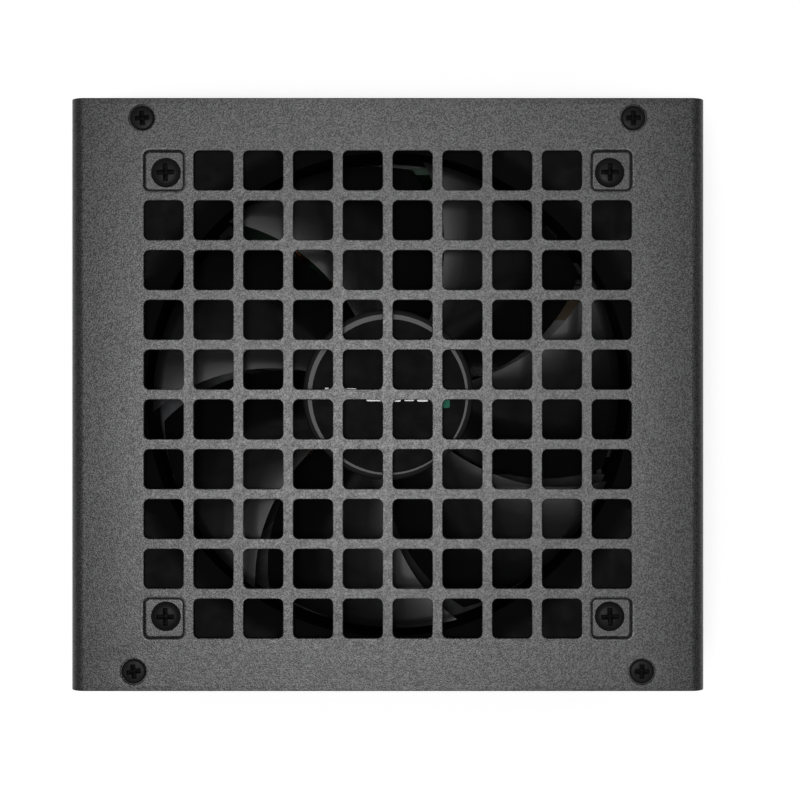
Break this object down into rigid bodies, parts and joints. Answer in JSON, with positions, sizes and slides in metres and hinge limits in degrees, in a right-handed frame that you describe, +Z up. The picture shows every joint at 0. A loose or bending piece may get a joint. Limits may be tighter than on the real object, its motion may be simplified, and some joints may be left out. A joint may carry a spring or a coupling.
{
  "type": "power supply unit",
  "caption": "Boxy desktop computer power supply: square-hole grille over an intake fan in the top, mains inlet with rocker switch and vents in one end, output sockets in the other.",
  "frame": {"origin": "centre of the base face", "axes": "+X along the width, +Y from the mains panel to the output panel, +Z up through the fan"},
  "size_m": [0.15, 0.1452, 0.086],
  "materials": {
    "casing_paint": "fine textured powder coat, dark grey",
    "chassis_paint": "fine textured powder coat, dark grey",
    "black_screw": "black oxide",
    "bright_steel": "zinc plated",
    "fan_plastic": "fine moulded texture",
    "rotor_plastic": "satin moulded",
    "label_paper": null,
    "magnet": "bonded ferrite",
    "bronze": "oil-filled sintered bronze",
    "lamination": "stacked laminations",
    "copper_wire": "enamelled copper wire",
    "copper": "bare copper strap",
    "circuit_board": "green solder mask",
    "black_plastic": "moulded",
    "gloss_black": "polished",
    "white_plastic": "moulded nylon, grey",
    "contact_metal": "plated",
    "wire_brown": "wire insulation",
    "wire_black": "wire insulation",
    "wire_blue": "wire insulation",
    "wire_green": "wire insulation",
    "ferrite": "sintered ferrite",
    "core_coating": "epoxy coated powder core",
    "film_case": "flame retardant case, dark grey",
    "tape_brown": "polyester tape, dark",
    "glass_tube": "clear glass tube with plated caps",
    "thermistor": "dipped coating",
    "epoxy": "moulded epoxy",
    "heatsink": "extruded, black anodised",
    "sleeve_black": "shrunk sleeve",
    "sleeve_blue": "shrunk sleeve",
    "fibre_sheet": "insulating fibre sheet",
    "smoked_film": "smoked polycarbonate film"
  },
  "bodies": {
    "casing": {"chassis_base": "chassis_paint", "top_cover": "casing_paint", "cover_sides": "casing_paint", "cover_screws": "black_screw", "fan_screws": "black_screw", "fan_frame": "fan_plastic", "fan_bearing": "bronze", "fan_stator_core": "lamination", "fan_stator_coils": "copper_wire", "fan_circuit_board": "circuit_board", "fan_lead": "wire_black", "fan_connector": "white_plastic", "inlet_housing": "black_plastic", "inlet_pins": "contact_metal", "inlet_screws": "black_screw", "switch_housing": "black_plastic", "switch_terminals": "bright_steel", "live_wire": "wire_brown", "switched_live_wire": "wire_black", "neutral_wire": "wire_blue", "earth_wire": "wire_green", "earth_stud": "bright_steel", "main_board": "circuit_board", "board_standoffs": "contact_metal", "board_screws": "bright_steel", "insulation_sheet": "fibre_sheet", "choke_cores": "core_coating", "common_mode_windings": "copper_wire", "pfc_winding": "copper_wire", "output_choke_windings": "copper_wire", "x_capacitors": "film_case", "fuse": "glass_tube", "inrush_thermistor": "thermistor", "bridge_rectifier": "epoxy", "rectifier_heatsink": "heatsink", "bulk_capacitor": "sleeve_black", "primary_heatsink": "heatsink", "primary_transistors": "epoxy", "transistor_screws": "bright_steel", "transformer_core": "ferrite", "transformer_winding": "tape_brown", "standby_transformer": "tape_brown", "secondary_heatsink": "heatsink", "secondary_rectifiers": "epoxy", "output_capacitors": "sleeve_blue", "control_board": "circuit_board", "socket_board": "circuit_board", "socket_motherboard": "black_plastic", "sockets_processor_graphics": "black_plastic", "sockets_drives": "black_plastic", "socket_contacts": "contact_metal", "busbars": "copper", "air_guide_film": "smoked_film", "film_rivets": "white_plastic"},
    "rotor": {"fan_rotor": "rotor_plastic", "rotor_yoke": "bright_steel", "fan_magnet_ring": "magnet", "fan_shaft": "bright_steel", "fan_label": "label_paper"},
    "rocker": {"switch_rocker": "gloss_black"}
  },
  "joints": [
    {"name": "fan_spin", "type": "hinge", "parent": "casing", "child": "rotor", "pos_m": [0, 0, 0.0702], "axis": [0, 0, 1], "continuous": true},
    {"name": "rocker_tilt", "type": "hinge", "parent": "casing", "child": "rocker", "pos_m": [-0.006, -0.0696, 0.024], "axis": [-1, 0, 0], "range_deg": [0, 24]}
  ]
}
